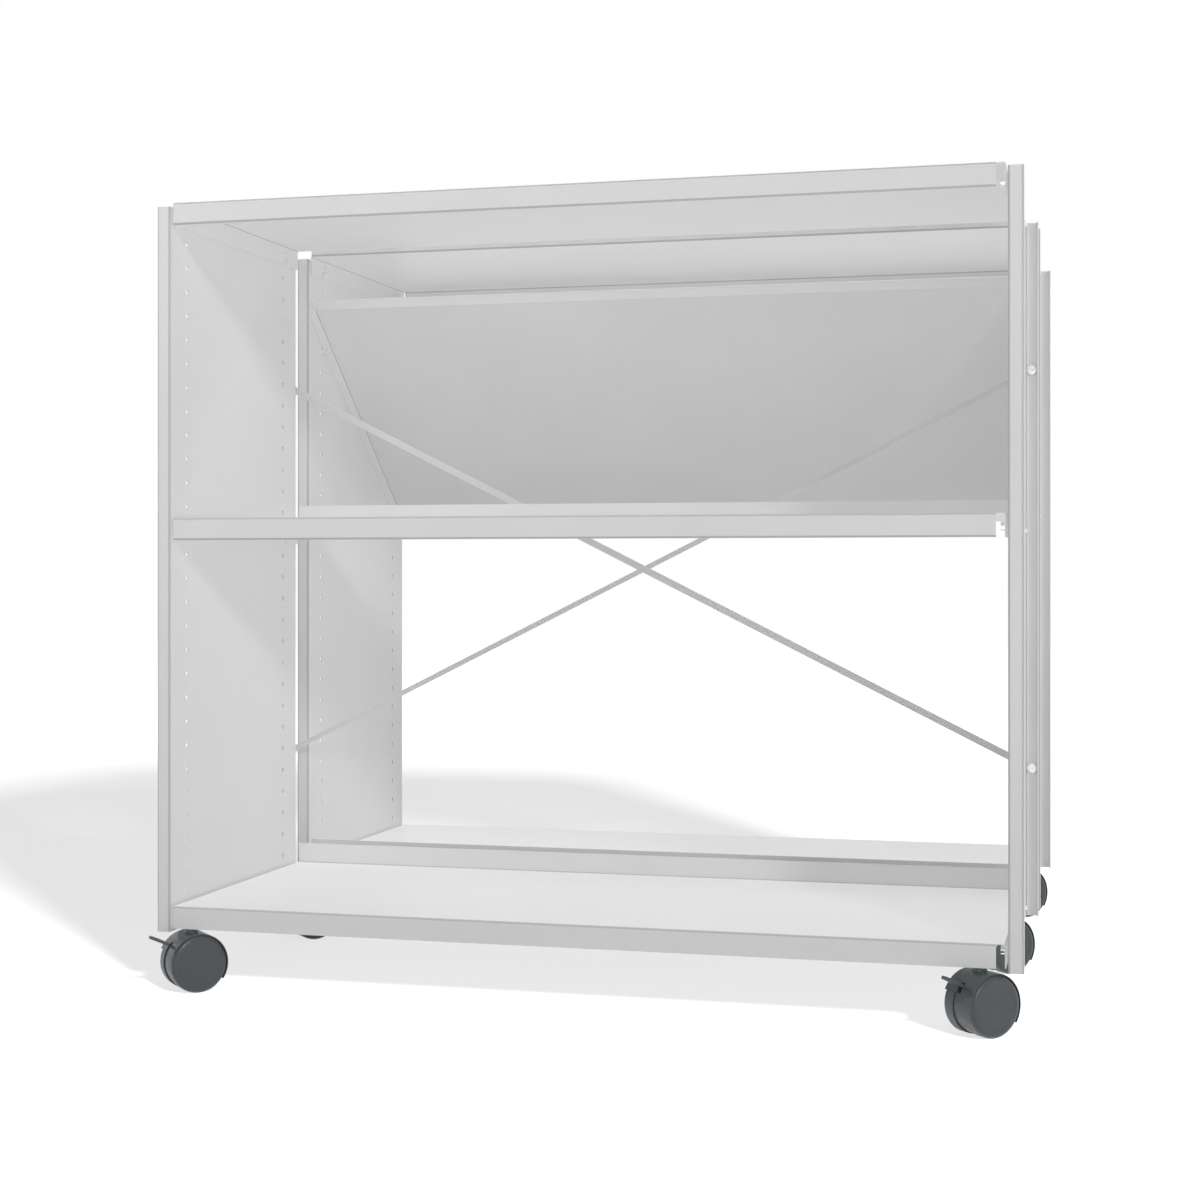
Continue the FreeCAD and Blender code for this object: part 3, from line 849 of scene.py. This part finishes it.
@dataclass
class LeverPiece:
    """Brake lever: pivot hub, arm and a tapered foot paddle with grip ribs."""

    pivot_back: float = 15.5
    pivot_height: float = 45.4
    slope: float = 24.5
    thick: float = 3.0
    half: float = 2.7
    hub_radius: float = 3.2
    hub_sides: int = 24
    trunnion_radius: float = 1.5
    trunnion_half: float = 5.9
    trunnion_sides: int = 16
    paddle_start: float = 11.0
    shoulder: float = 1.2
    reach: float = 31.5
    root_half: float = 7.0
    tip_half: float = 2.6
    edge_width: float = 0.45
    edge_segments: int = 3
    edge_angle: float = 40.0
    grips: int = 4
    grip_pitch: float = 2.6
    grip_inset: float = 3.0
    grip_margin: float = 0.7
    grip_radius: float = 0.45
    grip_sides: int = 8
    grip_sink: float = 0.12

    def make(self, castor: CastorFrame, mat: bpy.types.Material) -> bpy.types.Object:
        """Builds the lever and puts it on its body.

        Args:
            castor: place of the castor.
            mat: its finish.

        Returns:
            The lever.
        """
        mesh = bmesh.new()
        self.add_blade(mesh)
        self.add_rod(mesh, self.hub_radius, self.half, self.hub_sides)
        trunnion = (self.trunnion_radius, self.trunnion_half, self.trunnion_sides)
        self.add_rod(mesh, *trunnion)
        self.add_grips(mesh)
        pivot = Vector((0.0, -self.pivot_back, self.pivot_height)) * MM
        place = (
            castor.stem
            @ Matrix.Translation(pivot)
            @ Matrix.Rotation(math.radians(-self.slope), 4, "X")
        )
        name = f"{castor.label}_brake_lever_moulded"
        piece = to_piece(mesh, name, mat, place)
        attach(piece, f"{castor.label}_lever_body")
        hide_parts(f"{castor.label}_brake_lever")
        LOG.info("built %s", name)
        return piece

    def add_blade(self, mesh: bmesh.types.BMesh) -> None:
        """Adds the arm and the paddle, extruded outline by outline.

        Args:
            mesh: the lever.
        """
        rows = (
            (self.paddle_start - self.shoulder, self.half),
            (self.paddle_start, self.root_half),
            (self.reach, self.tip_half),
        )
        lift = self.thick / 2
        corners = ((-1.0, -lift), (1.0, -lift), (1.0, lift), (-1.0, lift))
        start = [mesh.verts.new((side * self.half, 0.0, z)) for side, z in corners]
        face = mesh.faces.new(start)
        for back, half in rows:
            face = bmesh.ops.extrude_discrete_faces(mesh, faces=[face])["faces"][0]
            for vert in face.verts:
                vert.co.x = math.copysign(half, vert.co.x)
                vert.co.y = -back
        bevel_sharp(mesh, self.edge_width, self.edge_segments, self.edge_angle)

    @staticmethod
    def add_rod(
        mesh: bmesh.types.BMesh, radius: float, half: float, sides: int
    ) -> List[bmesh.types.BMVert]:
        """Adds a round rod along X, through the pivot.

        Args:
            mesh: the lever.
            radius: its radius.
            half: half its length.
            sides: sides of the round.

        Returns:
            The vertices of the rod.
        """
        return bmesh.ops.create_cone(
            mesh,
            cap_ends=True,
            segments=sides,
            radius1=radius,
            radius2=radius,
            depth=2 * half,
            matrix=Matrix.Rotation(math.pi / 2, 4, "Y"),
        )["verts"]

    def add_grips(self, mesh: bmesh.types.BMesh) -> None:
        """Adds low grip ribs across the end of the paddle.

        Args:
            mesh: the lever.
        """
        lift = self.thick / 2 - self.grip_sink
        for i in range(self.grips):
            back = self.reach - self.grip_inset - i * self.grip_pitch
            share = (back - self.paddle_start) / (self.reach - self.paddle_start)
            width = self.root_half + (self.tip_half - self.root_half) * share
            half = width - self.grip_margin
            bar = self.add_rod(mesh, self.grip_radius, half, self.grip_sides)
            bmesh.ops.translate(mesh, vec=(0.0, -back, lift), verts=bar)


@dataclass
class Castor:
    """One braked twin-wheel castor."""

    place: CastorFrame

    def build(self, finishes: Finishes) -> None:
        """Builds the wheels and the lever and dresses the rest.

        Args:
            finishes: the finishes of the bookcase.
        """
        for side in Side:
            WheelPiece().make(self.place, side, finishes.wheel)
        LeverPiece().make(self.place, finishes.lever)
        dress(f"{self.place.label}_housing", finishes.housing)
        dress(f"{self.place.label}_axle", finishes.zinc)


# ----------------------------------------------------------------------- bolts


@dataclass
class BoltPiece:
    """Round-headed bolt with a hexagon socket, pointing along +Y."""

    shank_radius: float = 3.0
    collar_radius: float = 4.6
    collar: float = 1.0
    head_radius: float = 5.9
    head: float = 3.2
    dome: float = 2.4
    socket: float = 2.3
    socket_depth: float = 1.9
    socket_sides: int = 6
    rim: float = 0.9
    end_chamfer: float = 0.6
    steps: int = 36
    dome_points: int = 5

    def section(self, length: float) -> List[Point]:
        """Section line from the middle of the head to the end of the shank.

        Args:
            length: from the seat to the end of the shank.

        Returns:
            Points of position along the bolt and radius.
        """
        top = -self.collar - self.head
        line = [(top, self.socket + self.rim)]
        for i in range(self.dome_points + 1):
            angle = math.pi / 2 * i / self.dome_points
            along = top + self.dome * (1 - math.cos(angle))
            radius = self.head_radius - self.dome * (1 - math.sin(angle))
            line.append((along, radius))
        line += [
            (-self.collar, self.head_radius),
            (-self.collar, self.collar_radius),
            (0.0, self.collar_radius),
            (0.0, self.shank_radius),
            (length - self.end_chamfer, self.shank_radius),
            (length, self.shank_radius - self.end_chamfer),
            (length, 0.0),
        ]
        return line

    def add(self, mesh: bmesh.types.BMesh, seat: Vector, length: float) -> None:
        """Adds one bolt to a mesh.

        Args:
            mesh: mesh that takes the bolt, in millimetres.
            seat: middle of the face that the collar rests on.
            length: from the seat to the end of the shank.
        """
        own = spin_section(self.section(length), self.steps)
        top = Matrix.Translation((-self.collar - self.head, 0.0, 0.0))
        bmesh.ops.create_circle(
            own,
            cap_ends=True,
            segments=self.socket_sides,
            radius=self.socket,
            matrix=top @ Matrix.Rotation(math.pi / 2, 4, "Y"),
        )
        hexagon = [face for face in own.faces if len(face.verts) == self.socket_sides]
        floor = bmesh.ops.extrude_discrete_faces(own, faces=hexagon)["faces"][0]
        depth = (self.socket_depth, 0.0, 0.0)
        bmesh.ops.translate(own, vec=depth, verts=list(floor.verts))
        rims = [edge for edge in own.edges if edge.is_boundary]
        bmesh.ops.bridge_loops(own, edges=rims)
        turn = Matrix.Rotation(math.pi / 2, 3, "Z")
        bmesh.ops.rotate(own, cent=ORIGIN, matrix=turn, verts=own.verts)
        bmesh.ops.translate(own, vec=seat, verts=own.verts)
        spare = bpy.data.meshes.new("spare_bolt")
        own.to_mesh(spare)
        own.free()
        mesh.from_mesh(spare)
        bpy.data.meshes.remove(spare)


@dataclass
class Fasteners:
    """Bolts of the cross brace and of the link between the top shelves."""

    flange_x: float = 431.25
    brace_low: float = 219.5
    brace_high: float = 649.5
    seat_y: float = -19.25
    brace_length: float = 10.5
    link_x: float = 300.0
    link_z: float = 824.1
    link_length: float = 45.5
    dressed: Tuple[str, ...] = (
        "brace_nuts",
        "brace_washers",
        "link_nuts",
        "link_spacers",
        "castor_stems",
        "castor_stem_nuts",
    )

    def build(self, finishes: Finishes) -> None:
        """Builds both sets of bolts and dresses nuts, washers and sleeves.

        Args:
            finishes: the finishes of the bookcase.
        """
        brace = [
            Vector((side.sign * self.flange_x, self.seat_y, z))
            for side in Side
            for z in (self.brace_low, self.brace_high)
        ]
        link = [
            Vector((side.sign * self.link_x, self.seat_y, self.link_z)) for side in Side
        ]
        self.make_set("brace_bolts", brace, self.brace_length, finishes.zinc)
        self.make_set("link_bolts", link, self.link_length, finishes.zinc)
        for node in self.dressed:
            dress(node, finishes.zinc)

    @staticmethod
    def make_set(
        node: str, seats: Iterable[Vector], length: float, mat: bpy.types.Material
    ) -> None:
        """Builds one set of bolts as one piece.

        Args:
            node: CAD node that the set stands for.
            seats: seat of each bolt.
            length: length under the collar.
            mat: its finish.
        """
        mesh = bmesh.new()
        for seat in seats:
            BoltPiece().add(mesh, seat, length)
        piece = to_piece(mesh, f"{node}_socket_head", mat, Matrix.Identity(4))
        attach(piece, Carcass.BODY)
        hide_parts(node)
        LOG.info("built %s", piece.name)


# --------------------------------------------------------------------- carcass


@dataclass
class Carcass:
    """Panels, shelves, brackets, pins and brace bars."""

    BODY = "bookcase"

    panels: Tuple[str, ...] = (
        "front_left_side_panel",
        "front_right_side_panel",
        "rear_left_side_panel",
        "rear_right_side_panel",
    )
    shelves: Tuple[str, ...] = (
        "front_top_shelf",
        "front_middle_shelf",
        "front_bottom_shelf",
        "rear_top_shelf",
        "rear_bottom_shelf",
    )
    display: str = "sloped_display_shelf"
    brackets: Tuple[str, ...] = (
        "front_castor_brackets",
        "middle_castor_bridges",
        "rear_castor_brackets",
    )
    pins: Tuple[str, ...] = ("front_shelf_pins", "rear_shelf_pins")
    bars: Tuple[str, ...] = ("front_brace_bar", "rear_brace_bar")

    def build(self, finishes: Finishes) -> None:
        """Dresses every node of the carcass.

        Args:
            finishes: the finishes of the bookcase.
        """
        for node in self.panels + self.shelves + self.brackets:
            dress(node, finishes.sheet)
        dress(self.display, finishes.sloped)
        for node in self.pins:
            dress(node, finishes.zinc)
        for node in self.bars:
            dress(node, finishes.bar)


# ---------------------------------------------------------------------- studio


@dataclass(frozen=True)
class Lamp:
    """A lamp; a fill leaves no highlight, and no shadow unless it is to.

    A sun gives watts to the square metre along its aim from anywhere. A point
    lamp gives watts from its spot.
    """

    name: str
    energy: float
    aim: Triple = (0.0, 0.0, -1.0)
    spread: float = 40.0
    spot: Optional[Triple] = None
    radius: float = 0.3
    fill: bool = True
    shadow: bool = False
    on_floor: bool = False

    def add(self, floor: bpy.types.Object) -> None:
        """Adds the lamp, which lights either the floor or all but the floor.

        Args:
            floor: floor of the studio.
        """
        data = bpy.data.lights.new(self.name, "POINT" if self.spot else "SUN")
        data.energy = self.energy
        data.use_shadow = self.shadow or not self.fill
        lamp = bpy.data.objects.new(self.name, data)
        if self.spot:
            data.shadow_soft_size = self.radius
            lamp.location = self.spot
        else:
            data.angle = math.radians(self.spread)
            lamp.rotation_euler = Vector(self.aim).to_track_quat("-Z", "Y").to_euler()
        lamp.visible_glossy = not self.fill
        receivers = bpy.data.collections.new(f"{self.name}_receivers")
        receivers.objects.link(floor)
        link = receivers.collection_objects[0].light_linking
        link.link_state = "INCLUDE" if self.on_floor else "EXCLUDE"
        lamp.light_linking.receiver_collection = receivers
        bpy.context.scene.collection.objects.link(lamp)


@dataclass
class Studio:
    """Camera, lamps, world and floor."""

    eye: Triple = (0.52874, -2.2432, 0.43467)
    heading: float = 14.607
    pitch: float = 0.063
    focal_pixels: float = 2014.49
    frame_pixels: float = 1200.0
    horizon_pixels: float = 566.73
    sensor: float = 36.0
    far_clip: float = 60.0
    floor_half: float = 9.0
    floor_albedo: float = 0.25
    floor_glow: Tuple[float, float] = (0.73, 0.97)
    floor_fade: Tuple[float, float] = (1.9, 3.2)
    sky: float = 0.17
    key_aim: Triple = (-0.79, 1.0, -0.52)

    def build(self) -> None:
        """Builds the whole studio."""
        self.add_camera()
        self.add_world()
        self.add_lamps(self.add_floor())
        bpy.context.scene.view_settings.view_transform = "Standard"

    def add_camera(self) -> None:
        """Adds the camera and makes it the scene's camera."""
        data = bpy.data.cameras.new("camera")
        data.sensor_width = self.sensor
        data.lens = self.sensor * self.focal_pixels / self.frame_pixels
        data.shift_y = (self.horizon_pixels - self.frame_pixels / 2) / self.frame_pixels
        data.clip_end = self.far_clip
        camera = bpy.data.objects.new("camera", data)
        camera.location = self.eye
        tilt, turn = math.radians(90.0 + self.pitch), math.radians(self.heading)
        camera.rotation_euler = (tilt, 0.0, turn)
        bpy.context.scene.collection.objects.link(camera)
        bpy.context.scene.camera = camera

    def add_world(self) -> None:
        """Adds a white surround for the camera and a softer sky for light."""
        world = bpy.data.worlds.new("studio")
        bpy.context.scene.world = world
        world.use_nodes = True
        g = Graph(world.node_tree)
        back = g.node("ShaderNodeBackground")
        back.inputs["Color"].default_value = (1.0, 1.0, 1.0, 1.0)
        strength = g.remap(seen_directly(g), 0.0, 1.0, self.sky, 1.0)
        g.join(strength, back.inputs["Strength"])
        output = g.node("ShaderNodeOutputWorld")
        g.join(back.outputs["Background"], output.inputs["Surface"])

    def add_floor(self) -> bpy.types.Object:
        """Adds the pale floor, which keeps the object's shadow.

        Returns:
            The floor.
        """
        mesh = bmesh.new()
        bmesh.ops.create_grid(mesh, x_segments=1, y_segments=1, size=self.floor_half)
        data = bpy.data.meshes.new("floor")
        mesh.to_mesh(data)
        mesh.free()
        data.materials.append(self.floor_paint())
        floor = bpy.data.objects.new("floor", data)
        bpy.context.scene.collection.objects.link(floor)
        return floor

    def floor_paint(self) -> bpy.types.Material:
        """Matt floor with a glow, which only the view sees, that grows outwards.

        Returns:
            The material.
        """
        mat = bpy.data.materials.new("pale_floor")
        mat.use_nodes = True
        g = Graph(mat.node_tree)
        matte = g.node("ShaderNodeBsdfDiffuse")
        matte.inputs["Color"].default_value = (self.floor_albedo,) * 3 + (1.0,)
        glow = g.node("ShaderNodeEmission")
        coords = g.node("ShaderNodeTexCoord")
        reach = g.node("ShaderNodeVectorMath", operation="LENGTH")
        g.join(coords.outputs["Object"], reach.inputs[0])
        level = g.remap(reach.outputs["Value"], *self.floor_fade, *self.floor_glow)
        g.join(g.math("MULTIPLY", seen_directly(g), level), glow.inputs["Strength"])
        both = g.node("ShaderNodeAddShader")
        g.join(matte.outputs["BSDF"], both.inputs[0])
        g.join(glow.outputs["Emission"], both.inputs[1])
        output = g.node("ShaderNodeOutputMaterial")
        g.join(both.outputs["Shader"], output.inputs["Surface"])
        return mat

    def add_lamps(self, floor: bpy.types.Object) -> None:
        """Adds a low key from the front right and fills from all sides.

        Args:
            floor: floor, which takes its shadow from a lamp of its own.
        """
        lamps = (
            Lamp("key", 0.62, aim=self.key_aim, spread=8.0, fill=False),
            Lamp(
                "floor_key",
                8400.0,
                spot=(4.0, -5.1, 3.7),
                radius=0.45,
                fill=False,
                on_floor=True,
            ),
            Lamp("front_fill", 0.44, aim=(0.0, 1.0, 0.0), shadow=True),
            Lamp("low_fill", 0.90, aim=(0.0, -0.6, 0.8)),
            Lamp("top_fill", 1.62, aim=(0.0, 0.0, -1.0)),
            Lamp("right_fill", 0.66, aim=(-1.0, 0.0, 0.0)),
            Lamp("left_fill", 0.50, aim=(1.0, 0.0, 0.0)),
            Lamp("back_fill", 0.85, aim=(0.0, -1.0, 0.0)),
            Lamp("left_glow", 21.0, spot=(-0.9, -1.5, 1.3)),
        )
        for lamp in lamps:
            lamp.add(floor)


def seen_directly(g: Graph) -> Socket:
    """Value that tells the view's own rays from those that light the object.

    Args:
        g: graph of a material or a world.

    Returns:
        1 for camera, mirror and glass rays, and 0 for all others.
    """
    rays = g.node("ShaderNodeLightPath").outputs
    seen = g.math("MAXIMUM", rays["Is Camera Ray"], rays["Is Transmission Ray"])
    return g.math("MAXIMUM", seen, rays["Is Glossy Ray"])


# ------------------------------------------------------------------------ main


def main() -> None:
    """Builds the studio and dresses the bookcase, part by part."""
    logging.basicConfig(level=logging.INFO, format="%(name)s: %(message)s")
    Studio().build()
    finishes = Finishes()
    Carcass().build(finishes)
    Fasteners().build(finishes)
    for row in Row:
        for side in Side:
            Castor(CastorFrame(row, side)).build(finishes)


if __name__ == "__main__":
    main()
